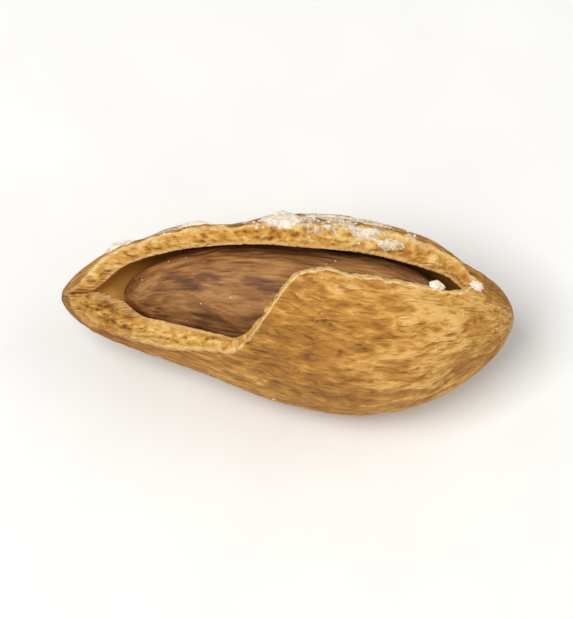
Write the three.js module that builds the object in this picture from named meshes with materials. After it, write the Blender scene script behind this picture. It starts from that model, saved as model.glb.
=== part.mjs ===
// A whole almond in its shell, roasted until the shell has split along its seam, with the kernel
// lying loose inside and crusts of salt on the outside. Units are millimetres, +Z is up.
//
// The nut lies on its back edge with the split upwards. X runs along the nut, from its pointed tip
// at -X to its rounded base at +X. Y runs through its thickness, with the broken-out side of the
// split towards -Y. The origin is in the middle of the small flat spot that the nut rests on.
//
// Every surface is a stack of oval rings. A ring is found by its share of the length, from 0 at the
// tip to 1 at the base, and a point on it by its turn in degrees: 0 is the top, 90 the back face at
// +Y, 180 the back edge on the floor, and -90 the front face at -Y.

import * as THREE from "three";
import { ParametricGeometry } from "three/addons/geometries/ParametricGeometry.js";
import { mergeGeometries, mergeVertices } from "three/addons/utils/BufferGeometryUtils.js";

const { degToRad, lerp, smoothstep } = THREE.MathUtils;

// The outside of the shell.
const LENGTH = 35;
const HALF_HEIGHT = 9.1;
const HALF_THICKNESS = 7.25;
const SAG = 0.35; // how far the rings' middles lie above the axis near the tip and below it beyond
const BOW = 0.45; // how far they lie to the back near the tip and to the front beyond
const RISE = 1.2; // how much higher the axis ends at the base than at the tip
const AXIS_HEIGHT = 8.43; // a little low, so that the floor presses the rest spot 0.7 mm flat
const REST_SHARE = 0.55; // the lowest ring, under the nut's centre of mass

// The cavity, which has the outside's shape at a smaller size.
const CAVITY_HALF_HEIGHT = 7.4;
const CAVITY_HALF_THICKNESS = 5.65;
const CAVITY_SPAN = { from: 0.045, to: 0.965 };

// The kernel, which has shrunk and lies loose in the cavity, towards the tip and the back wall.
const KERNEL_SPAN = { from: 0.137, to: 0.858 };
const KERNEL_HALF_HEIGHT = 6.3;
const KERNEL_HALF_THICKNESS = 4.45;
const KERNEL_SINK = 0.3;
const KERNEL_LEAN = 0.2;

// An outline swells to its fullest ring and falls again. On each side of that ring it follows
// (1 - distance ** power) ** root, so that a power of 2 with a root of 0.5 is half an ellipse.
const HEIGHT_OUTLINE = { fullest: 0.53, tip: [1.7, 0.61], base: [1.9, 0.55] };
const THICKNESS_OUTLINE = { fullest: 0.62, tip: [1.35, 0.57], base: [2, 0.62] };
const KERNEL_OUTLINE = { fullest: 0.58, tip: [1.8, 0.53], base: [3.4, 0.5] };

// The rings stand closer together towards the ends. The split is open between two of them.
const RINGS = 36;
const STEPS_ROUND = 36;
const CROWDING = 0.6;
const FIRST_OPEN_RING = 1;
const LAST_OPEN_RING = 30;
const SPLIT_FROM = ringShare(FIRST_OPEN_RING);
const SPLIT_TO = ringShare(LAST_OPEN_RING);

// The split, in degrees of turn: its middle line, its half width, the front lip's broken bite, and
// how much wider the split is at the shell's outside than at the cavity, where the wall has crumbled.
// At the tip the front half's wall is worn to a thick tongue that shows its whole broken edge.
const SEAM_AT_TIP = -20;
const SEAM_AT_MIDDLE = 9;
const SEAM_AT_BASE = 13.5;
const SPLIT_HALF_WIDTH = 13.5;
const BITE_DEPTH = 63;
const BACK_BEVEL = 8;
const FRONT_BEVEL = 4;
const BITE_BEVEL = 17;
const TONGUE_BEVEL = 42;

// Crusts of salt on the shell: middle, size along and round the nut, and thickness.
const CRUSTS = {
  salt_rim_crust: { share: 0.645, turn: 49, along: 8.6, round: 3.2, thick: 0.5 },
  salt_rim_lump: { share: 0.48, turn: 43, along: 2.6, round: 2.8, thick: 0.55 },
  salt_rim_fleck: { share: 0.29, turn: 46, along: 2.4, round: 1.4, thick: 0.35 },
  salt_tip_lump: { share: 0.125, turn: 46, along: 2.1, round: 1.5, thick: 0.45 },
  salt_split_grain: { share: 0.908, turn: 9, along: 1.1, round: 0.9, thick: 0.35 },
  salt_lip_grain: { share: 0.82, turn: -1, along: 1.3, round: 0.8, thick: 0.4 },
  salt_back_crust: { share: 0.52, turn: 108, along: 11.5, round: 6, thick: 0.6 },
  salt_back_fleck: { share: 0.77, turn: 84, along: 2.8, round: 2.1, thick: 0.4 },
  salt_edge_crust: { share: 0.36, turn: 150, along: 6, round: 3.4, thick: 0.5 },
  salt_under_crust: { share: 0.3, turn: -150, along: 4.4, round: 2.6, thick: 0.4 },
};
const CRUST_GAP = 0.25; // keeps each crust's solid clear of the shell's
const CRUST_LOBES = 0.15; // how far a crust's edge wanders in and out
const CRUST_RINGS = 5;
const CRUST_STEPS = 15;

const SHELL_LOOK = { color: 0xc08d4d, roughness: 0.85, metalness: 0 };
const KERNEL_LOOK = { color: 0x9b6c42, roughness: 0.6, metalness: 0 };
const SALT_LOOK = { color: 0xefe9dd, roughness: 0.9, metalness: 0 };

/** The share of the length at which an evenly counted ring stands. */
function ringShare(ring) {
  const turn = (2 * Math.PI * ring) / RINGS;
  return ring / RINGS - (CROWDING * Math.sin(turn)) / (2 * Math.PI);
}

/** An outline's size at a share of the length, from 0 at each end to 1 at its fullest ring. */
function outlineAt(share, { fullest, tip, base }) {
  const isTipSide = share < fullest;
  const [power, root] = isTipSide ? tip : base;
  const distance = isTipSide ? 1 - share / fullest : (share - fullest) / (1 - fullest);
  return (1 - Math.min(distance, 1) ** power) ** root;
}

/** A point of an oval ring that stands across the nut, at a share of the shell's length. */
function onRing(share, halfHeight, halfThickness, turn) {
  const angle = degToRad(turn);
  const sway = Math.sin(2 * Math.PI * share);
  return new THREE.Vector3(
    (share - REST_SHARE) * LENGTH,
    BOW * sway + halfThickness * Math.sin(angle),
    AXIS_HEIGHT + SAG * sway + RISE * (share - 0.5) + halfHeight * Math.cos(angle),
  );
}

/** A point on the shell's outside, pressed flat where it meets the floor. */
function onOutside(share, turn) {
  const halfHeight = HALF_HEIGHT * outlineAt(share, HEIGHT_OUTLINE);
  const halfThickness = HALF_THICKNESS * outlineAt(share, THICKNESS_OUTLINE);
  const point = onRing(share, halfHeight, halfThickness, turn);
  point.z = Math.max(point.z, 0);
  return point;
}

/** A point on the wall of the cavity, at a share of the cavity's own length. */
function onCavity(share, turn) {
  const shareOfShell = lerp(CAVITY_SPAN.from, CAVITY_SPAN.to, share);
  const halfHeight = CAVITY_HALF_HEIGHT * outlineAt(share, HEIGHT_OUTLINE);
  const halfThickness = CAVITY_HALF_THICKNESS * outlineAt(share, THICKNESS_OUTLINE);
  return onRing(shareOfShell, halfHeight, halfThickness, turn);
}

/** A point on the kernel, at a share of the kernel's own length. */
function onKernel(share, turn) {
  const shareOfShell = lerp(KERNEL_SPAN.from, KERNEL_SPAN.to, share);
  const size = outlineAt(share, KERNEL_OUTLINE);
  const point = onRing(shareOfShell, KERNEL_HALF_HEIGHT * size, KERNEL_HALF_THICKNESS * size, turn);
  point.y += KERNEL_LEAN;
  point.z -= KERNEL_SINK;
  return point;
}

/** The turns of the split's two lips at the cavity, and how much further each is cut outside. */
function lips(share) {
  const opening = smoothstep(share, SPLIT_FROM, 0.09) * (1 - smoothstep(share, 0.865, SPLIT_TO));
  const bite = smoothstep(share, SPLIT_FROM, 0.165) * (1 - smoothstep(share, 0.365, 0.54));
  const crumbled = smoothstep(share, SPLIT_FROM, 0.05) * (1 - smoothstep(share, 0.18, 0.38));
  const tongue = smoothstep(share, SPLIT_FROM, 0.03) * (1 - smoothstep(share, 0.05, 0.17));
  const toMiddle = (SEAM_AT_MIDDLE - SEAM_AT_TIP) * smoothstep(share, 0.02, 0.12);
  const toBase = (SEAM_AT_BASE - SEAM_AT_MIDDLE) * smoothstep(share, 0.45, 0.75);
  const seam = SEAM_AT_TIP + toMiddle + toBase;
  return {
    back: seam + SPLIT_HALF_WIDTH * opening,
    front: seam - SPLIT_HALF_WIDTH * opening - BITE_DEPTH * bite,
    backBevel: BACK_BEVEL * opening,
    frontBevel: FRONT_BEVEL * opening + BITE_BEVEL * crumbled + TONGUE_BEVEL * tongue,
  };
}

/** A point of the back lip, on the cavity's wall or on the shell's outside. */
function onBackLip(share, isInside) {
  const { back, backBevel } = lips(share);
  return isInside ? onCavity(share, back) : onOutside(share, back + backBevel);
}

/** A point of the front lip, on the cavity's wall or on the shell's outside. */
function onFrontLip(share, isInside) {
  const { front, frontBevel } = lips(share);
  return isInside ? onCavity(share, front) : onOutside(share, front - frontBevel);
}

/** Joins surfaces that share their edges into one closed geometry, without collapsed triangles. */
function closedFrom(surfaces) {
  for (const surface of surfaces) {
    surface.deleteAttribute("normal");
    surface.deleteAttribute("uv");
  }
  const joined = mergeVertices(mergeGeometries(surfaces), 1e-3);
  const corners = [...joined.index.array];
  const isWhole = (i) => new Set(corners.slice(i - (i % 3), i - (i % 3) + 3)).size === 3;
  joined.setIndex(corners.filter((corner, i) => isWhole(i)));
  joined.computeVertexNormals();
  return joined;
}

/** A skin of rings, quarter by quarter from the back lip round under the nut to the front lip. */
function skinBetweenLips(isInside) {
  const pointAt = isInside ? onCavity : onOutside;
  const place = (u, v, target) => {
    const share = ringShare(v * RINGS);
    const { back, front, backBevel, frontBevel } = lips(share);
    const from = isInside ? back : back + backBevel;
    const to = isInside ? front : front - frontBevel;
    const quarters = [from, 90, 180, 270, 360 + to];
    const round = 4 * (isInside ? u : 1 - u);
    const quarter = Math.min(Math.floor(round), 3);
    target.copy(pointAt(share, lerp(quarters[quarter], quarters[quarter + 1], round - quarter)));
  };
  return new ParametricGeometry(place, STEPS_ROUND, RINGS);
}

/** The edge of the shell along one side of the split, from the outside to the cavity. */
function lipEdge(onLip, isBack) {
  const place = (u, v, target) => {
    const share = ringShare(lerp(FIRST_OPEN_RING, LAST_OPEN_RING, v));
    target.copy(onLip(share, false)).lerp(onLip(share, true), isBack ? u : 1 - u);
  };
  return new ParametricGeometry(place, 1, LAST_OPEN_RING - FIRST_OPEN_RING);
}

function shellGeometry() {
  return closedFrom([
    skinBetweenLips(false),
    skinBetweenLips(true),
    lipEdge(onBackLip, true),
    lipEdge(onFrontLip, false),
  ]);
}

function kernelGeometry() {
  const place = (u, v, target) => target.copy(onKernel((1 - Math.cos(Math.PI * v)) / 2, -360 * u));
  return closedFrom([new ParametricGeometry(place, 22, 20)]);
}

/** The way out of the shell at a point of its outside. */
function outward(share, turn) {
  const along = onOutside(share + 0.005, turn).sub(onOutside(share - 0.005, turn));
  const round = onOutside(share, turn + 1).sub(onOutside(share, turn - 1));
  return along.cross(round).normalize();
}

/** A lens of salt that follows the shell: its underside from the middle out, then its crown. */
function crustGeometry({ share, turn, along, round, thick }) {
  const degree = onOutside(share, turn).distanceTo(onOutside(share, turn + 1));
  const place = (u, v, target) => {
    const angle = 2 * Math.PI * u;
    const isCrown = v > 0.5;
    const reach = isCrown ? 2 - 2 * v : 2 * v;
    const lobed = (reach / 2) * (1 + CRUST_LOBES * Math.sin(3 * angle + turn));
    const atShare = share + (lobed * Math.cos(angle) * along) / LENGTH;
    const atTurn = turn + (lobed * Math.sin(angle) * round) / degree;
    const height = CRUST_GAP + (isCrown ? thick * (1 - reach ** 2) : 0);
    target.copy(onOutside(atShare, atTurn)).addScaledVector(outward(atShare, atTurn), height);
  };
  return closedFrom([new ParametricGeometry(place, CRUST_STEPS, 2 * CRUST_RINGS)]);
}

function named(name, geometry, look) {
  const mesh = new THREE.Mesh(geometry, new THREE.MeshStandardMaterial(look));
  mesh.name = name;
  return mesh;
}

const almond = new THREE.Group();
almond.add(named("shell", shellGeometry(), SHELL_LOOK));
almond.add(named("kernel", kernelGeometry(), KERNEL_LOOK));
for (const [name, crust] of Object.entries(CRUSTS)) {
  almond.add(named(name, crustGeometry(crust), SALT_LOOK));
}

export default almond;
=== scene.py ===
"""A salted almond in its shell, roasted until the shell split, lying on its back edge.

Sizes are in millimetres until a mesh is made. X runs along the nut from its pointed tip to its
rounded base, +Z is up towards the split, and the broken-out side of the split faces -Y. A place on
a surface is its share of the length, from 0 at the tip to 1 at the base, and its turn in degrees: 0
is the top, 90 the back face, 180 the back edge on the floor and -90 the front face.
"""

import logging
import math
from dataclasses import dataclass, field
from enum import Enum

import bmesh
import bpy
import numpy as np
from mathutils import Matrix, Vector, noise


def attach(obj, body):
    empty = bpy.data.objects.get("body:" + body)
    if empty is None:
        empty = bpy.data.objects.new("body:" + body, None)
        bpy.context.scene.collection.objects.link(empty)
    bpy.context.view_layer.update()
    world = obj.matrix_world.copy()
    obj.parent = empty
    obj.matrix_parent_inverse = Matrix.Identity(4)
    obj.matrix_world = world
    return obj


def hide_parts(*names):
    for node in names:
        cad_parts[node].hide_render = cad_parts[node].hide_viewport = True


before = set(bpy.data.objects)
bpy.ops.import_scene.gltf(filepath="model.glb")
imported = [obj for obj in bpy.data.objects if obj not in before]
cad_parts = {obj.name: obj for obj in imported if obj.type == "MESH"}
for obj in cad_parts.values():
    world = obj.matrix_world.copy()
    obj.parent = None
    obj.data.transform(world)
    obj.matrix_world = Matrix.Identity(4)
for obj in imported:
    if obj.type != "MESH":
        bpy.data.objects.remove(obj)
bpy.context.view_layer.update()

LOG = logging.getLogger("almond")
METRES = 0.001
GRAIN_RADIUS = 7.0  # the fibres' pattern is drawn on a barrel of this radius

Size = tuple[float, float, float]  # how long one mark of a pattern is along each axis
Stops = tuple[tuple[float, str], ...]  # the places of a colour ramp and their web colours


# ---------------------------------------------------------------------------------------------
# Small tools for arrays of numbers
# ---------------------------------------------------------------------------------------------


def smooth(value: np.ndarray, low: float, high: float) -> np.ndarray:
    """Rise smoothly from 0 at low to 1 at high.

    Args:
        value: What is compared.
        low: Where the rise starts.
        high: Where it ends, which may be below low for a fall.

    Returns:
        The rise, between 0 and 1.
    """
    part = np.clip((np.asarray(value, dtype=float) - low) / (high - low), 0, 1)
    return part * part * (3 - 2 * part)


def bump_at(value: np.ndarray, middle: float, width: float) -> np.ndarray:
    """Give a bell of height 1 and the stated half width around its middle."""
    return np.exp(-(((value - middle) / width) ** 2))


def unevenness(points: np.ndarray, size: Size, octaves: int = 1) -> np.ndarray:
    """Sample smooth noise at many points.

    Args:
        points: Points, in the last axis.
        size: How long one swell of the noise is along each axis, in the points' unit.
        octaves: How many finer layers are added, each at half the size of the last.

    Returns:
        About -1 to 1 for each point.
    """
    flat = (points / np.array(size)).reshape(-1, 3)
    values = [noise.fractal(place, 1.0, 2.0, octaves) for place in flat.tolist()]
    return np.array(values).reshape(points.shape[:-1])


def hollows(points: np.ndarray, size: Size) -> np.ndarray:
    """Sample how near each point is to the middle of a cell.

    Args:
        points: Points, in the last axis.
        size: How long one cell is along each axis.

    Returns:
        The distance to the nearest middle, from 0 there to about 1 between cells.
    """
    flat = (points / np.array(size)).reshape(-1, 3)
    values = [noise.voronoi(place)[0][0] for place in flat.tolist()]
    return np.array(values).reshape(points.shape[:-1])


def unit(vectors: np.ndarray) -> np.ndarray:
    """Give each vector a length of 1, and leave those with no length alone."""
    length = np.linalg.norm(vectors, axis=-1, keepdims=True)
    return vectors / np.where(length > 1e-9, length, 1)


def steadied(rows: np.ndarray, reach: int) -> np.ndarray:
    """Average each row with as many neighbours as reach says on either side.

    Args:
        rows: The rows, along the first axis.
        reach: How many neighbours take part on each side.

    Returns:
        The averages.
    """
    padded = np.concatenate([rows[:1]] * reach + [rows] + [rows[-1:]] * reach)
    window = 2 * reach + 1
    return sum(padded[i : i + len(rows)] for i in range(window)) / window


def between(share: np.ndarray, start: float, full: float, fading: float, end: float) -> np.ndarray:
    """Give 1 on the stretch from full to fading, rising from 0 at start and falling to 0 at end."""
    return smooth(share, start, full) * (1 - smooth(share, fading, end))


def signed(turn: np.ndarray) -> np.ndarray:
    """Give the same turn between -180 and 180 degrees."""
    return (turn + 180) % 360 - 180


def unevenness_along(share: np.ndarray, size: float, lane: float) -> np.ndarray:
    """Sample noise along the nut only.

    Args:
        share: Shares of the length.
        size: How long one swell is, as a share.
        lane: Picks one of many independent patterns.

    Returns:
        About -1 to 1 for each share.
    """
    points = np.stack([share / size, np.full_like(share, lane), np.zeros_like(share)], -1)
    return unevenness(points, (1, 1, 1), 2)


@dataclass(frozen=True)
class Swell:
    """One layer of smooth noise: its size in millimetres, its finer layers and its own shift."""

    size: Size
    octaves: int = 2
    shift: float = 0.0

    def at(self, points: np.ndarray) -> np.ndarray:
        """Sample it at points, from about -1 to 1."""
        return unevenness(points + self.shift, self.size, self.octaves)

    def crests(self, points: np.ndarray, steepness: float) -> np.ndarray:
        """Turn its crossings of 0 into crests, 1 along their tops."""
        return 1 - steepness * np.abs(self.at(points))

    def sideways(self, points: np.ndarray, reach: float) -> np.ndarray:
        """Use it to move points across the fibres, by up to about reach."""
        return self.at(points)[..., None] * np.array([0.0, reach, reach])


@dataclass(frozen=True)
class Pits:
    """Round hollows, one to a cell: the cells' size, their shift and how wide each hollow is."""

    size: Size
    shift: float
    bottom: float
    rim: float

    def at(self, points: np.ndarray) -> np.ndarray:
        """Give 1 on the bottom of a hollow and 0 past its rim."""
        return 1 - smooth(hollows(points + self.shift, self.size), self.bottom, self.rim)


# ---------------------------------------------------------------------------------------------
# Meshes
# ---------------------------------------------------------------------------------------------


@dataclass
class Patch:
    """A rectangular sheet of points with numbers that the finish reads."""

    points: np.ndarray
    numbers: dict[str, np.ndarray] = field(default_factory=dict)

    def faces(self, start: int) -> list[tuple[int, ...]]:
        """List the sheet's four-sided faces.

        Args:
            start: The number of the sheet's first corner.

        Returns:
            The corners' numbers, face by face.
        """
        rows, columns = self.points.shape[:2]
        corner = start + np.arange(rows * columns).reshape(rows, columns)
        sides = (corner[:-1, :-1], corner[:-1, 1:], corner[1:, 1:], corner[1:, :-1])
        return np.stack([side.ravel() for side in sides], -1).tolist()


def weld(name: str, patches: list[Patch], tolerance: float = 0.001) -> bpy.types.Object:
    """Join sheets that share their edges into one closed mesh.

    Args:
        name: The new object's name.
        patches: Sheets, all with the same numbers.
        tolerance: How near two points are when they are one, in millimetres.

    Returns:
        The object, in metres and at the origin.
    """
    mesh = bpy.data.meshes.new(name)
    points = np.concatenate([patch.points.reshape(-1, 3) for patch in patches]) * METRES
    faces, start = [], 0
    for patch in patches:
        faces += patch.faces(start)
        start += patch.points.shape[0] * patch.points.shape[1]
    mesh.from_pydata(points.tolist(), [], faces)
    for number, values in patches[0].numbers.items():
        joined = [patch.numbers[number].reshape(-1, *values.shape[2:]) for patch in patches]
        is_vector = values.ndim > 2
        layer = mesh.attributes.new(number, "FLOAT_VECTOR" if is_vector else "FLOAT", "POINT")
        layer.data.foreach_set("vector" if is_vector else "value", np.concatenate(joined).ravel())
    work = bmesh.new()
    work.from_mesh(mesh)
    bmesh.ops.remove_doubles(work, verts=work.verts, dist=tolerance * METRES)
    bmesh.ops.dissolve_degenerate(work, edges=work.edges, dist=tolerance * METRES / 10)
    bmesh.ops.recalc_face_normals(work, faces=work.faces)
    if work.calc_volume(signed=True) < 0:
        bmesh.ops.reverse_faces(work, faces=work.faces)
    open_edges = sum(not edge.is_manifold for edge in work.edges)
    work.to_mesh(mesh)
    work.free()
    mesh.polygons.foreach_set("use_smooth", [True] * len(mesh.polygons))
    if open_edges:
        LOG.warning("%s has %d edges that are open", name, open_edges)
    piece = bpy.data.objects.new(name, mesh)
    bpy.context.collection.objects.link(piece)
    return piece


# ---------------------------------------------------------------------------------------------
# Nodes
# ---------------------------------------------------------------------------------------------


def tint(code: str) -> tuple[float, float, float, float]:
    """Turn a web colour into the linear colour that a shader takes.

    Args:
        code: Its six figures.

    Returns:
        Red, green, blue and an alpha of 1.
    """
    parts = [int(code[i : i + 2], 16) / 255 for i in (0, 2, 4)]
    linear = [p / 12.92 if p <= 0.04045 else ((p + 0.055) / 1.055) ** 2.4 for p in parts]
    return (*linear, 1.0)


class Wire:
    """A socket that takes part in sums, each of which adds a Math node."""

    def __init__(self, graph: "Graph", socket: bpy.types.NodeSocket) -> None:
        """Keep the graph and the socket that the value comes out of."""
        self.graph = graph
        self.socket = socket

    def _math(self, operation: str, *values: "Wire | float") -> "Wire":
        """Add a Math node on the given values."""
        return self.graph.node("ShaderNodeMath", {"operation": operation}, dict(enumerate(values)))

    def __add__(self, other: "Wire | float") -> "Wire":
        """Add."""
        return self._math("ADD", self, other)

    def __sub__(self, other: "Wire | float") -> "Wire":
        """Subtract."""
        return self._math("SUBTRACT", self, other)

    def __rsub__(self, other: float) -> "Wire":
        """Subtract from a number."""
        return self._math("SUBTRACT", other, self)

    def __mul__(self, other: "Wire | float") -> "Wire":
        """Multiply."""
        return self._math("MULTIPLY", self, other)

    def __abs__(self) -> "Wire":
        """Drop the sign."""
        return self._math("ABSOLUTE", self)

    __radd__ = __add__
    __rmul__ = __mul__

    def rise(self, low: float, high: float) -> "Wire":
        """Rise smoothly from 0 at low to 1 at high."""
        settings = {"interpolation_type": "SMOOTHSTEP"}
        inputs = {"Value": self, "From Min": low, "From Max": high}
        return self.graph.node("ShaderNodeMapRange", settings, inputs)

    def lines(self, width: float) -> "Wire":
        """Turn a noise into thin winding lines, 1 along their middles, by its crossings of 0.5."""
        return (1 - abs(self - 0.5) * (1 / width)).rise(0.0, 1.0)


class Graph:
    """A tree of nodes, which all come from one method."""

    def __init__(self, tree: bpy.types.NodeTree) -> None:
        """Keep the tree."""
        self.tree = tree

    def node(self, kind: str, settings: dict, inputs: dict, output: int | str = 0) -> Wire:
        """Add a node.

        Args:
            kind: The node's type.
            settings: Its own settings, which are set first. "stops" fills a colour ramp.
            inputs: Its sockets, by identifier, name or number, and their values or wires.
            output: Which output is wanted, by number or by the name of the one in use.

        Returns:
            The wire from that output.
        """
        made = self.tree.nodes.new(kind)
        for name, value in settings.items():
            if name == "stops":
                self._fill_ramp(made.color_ramp, value)
            else:
                setattr(made, name, value)
        sockets = {socket.identifier: socket for socket in made.inputs}
        for name, value in inputs.items():
            self.feed(sockets[name] if name in sockets else made.inputs[name], value)
        if isinstance(output, int):
            return Wire(self, made.outputs[output])
        in_use = (socket for socket in made.outputs if socket.name == output and socket.enabled)
        return Wire(self, next(in_use))

    def feed(self, socket: bpy.types.NodeSocket, value: object) -> None:
        """Link a wire to a socket, or set the socket's value.

        Args:
            socket: A node's input.
            value: A wire, or a number, colour, vector or material.
        """
        if isinstance(value, Wire):
            self.tree.links.new(value.socket, socket)
        else:
            socket.default_value = value

    def given(self, name: str) -> Wire:
        """Read one of a node group's own inputs."""
        return self.node("NodeGroupInput", {}, {}, name)

    @staticmethod
    def _fill_ramp(ramp: bpy.types.ColorRamp, stops: Stops) -> None:
        """Set a ramp's stops.

        Args:
            ramp: The ramp.
            stops: A place and a web colour for each stop.
        """
        while len(ramp.elements) < len(stops):
            ramp.elements.new(0.5)
        for element, (place, code) in zip(ramp.elements, stops):
            element.position = place
            element.color = tint(code)


@dataclass(frozen=True)
class Pattern:
    """A noise that colours a finish: the size of its marks, its finer layers and its warping."""

    size: Size
    detail: float = 2.0
    warp: float = 0.0


class Material(Graph):
    """The nodes of one material, around one Principled shader."""

    def __init__(self, name: str) -> None:
        """Start a material with its shader and its output."""
        self.material = bpy.data.materials.new(name)
        self.material.use_nodes = True
        super().__init__(self.material.node_tree)
        self.shader = self.tree.nodes["Principled BSDF"]

    def number(self, name: str) -> Wire:
        """Read one number of the mesh's own."""
        return self.node("ShaderNodeAttribute", {"attribute_name": name}, {}, "Fac")

    def place(self, name: str) -> Wire:
        """Read one vector of the mesh's own."""
        return self.node("ShaderNodeAttribute", {"attribute_name": name}, {}, "Vector")

    def own_place(self) -> Wire:
        """Read Object coordinates, in metres."""
        return self.node("ShaderNodeTexCoord", {}, {}, "Object")

    def stretched(self, place: Wire, size: Size) -> Wire:
        """Scale a place so that a pattern on it has the given size along each axis."""
        inputs = {0: place, 1: tuple(1 / length for length in size)}
        return self.node("ShaderNodeVectorMath", {"operation": "MULTIPLY"}, inputs)

    def noise(self, place: Wire, pattern: Pattern) -> Wire:
        """Sample a noise, from 0 to 1 with its middle at 0.5."""
        inputs = {"Vector": self.stretched(place, pattern.size), "Scale": 1.0}
        finer = {"Detail": pattern.detail, "Distortion": pattern.warp}
        return self.node("ShaderNodeTexNoise", {}, {**inputs, **finer})

    def cells(self, place: Wire, size: Size) -> Wire:
        """Sample the distance to the middle of the nearest cell of the given size."""
        inputs = {"Vector": self.stretched(place, size), "Scale": 1.0}
        return self.node("ShaderNodeTexVoronoi", {}, inputs)

    def ramp(self, value: Wire, stops: Stops) -> Wire:
        """Turn a value into a colour."""
        return self.node("ShaderNodeValToRGB", {"stops": stops}, {"Fac": value})

    def mix(self, factor: Wire | float, low: Wire | tuple, high: Wire | tuple) -> Wire:
        """Blend two colours."""
        inputs = {"Factor_Float": factor, "A_Color": low, "B_Color": high}
        return self.node("ShaderNodeMix", {"data_type": "RGBA"}, inputs, "Result")

    def relief(self, height: Wire, depth_mm: float) -> Wire:
        """Turn a height from 0 to 1 into a normal, as if the surface were that deep."""
        inputs = {"Height": height, "Distance": depth_mm * METRES, "Strength": 1.0}
        return self.node("ShaderNodeBump", {}, inputs)

    def finish(self, colour: Wire, roughness: Wire | float, normal: Wire) -> bpy.types.Material:
        """Feed the shader.

        Args:
            colour: The base colour.
            roughness: The roughness, which is a plain number where it is the same all over.
            normal: The normal.

        Returns:
            The finished material.
        """
        for name, value in {"Base Color": colour, "Roughness": roughness, "Normal": normal}.items():
            self.feed(self.shader.inputs[name], value)
        return self.material


# ---------------------------------------------------------------------------------------------
# Finishes
# ---------------------------------------------------------------------------------------------


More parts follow.
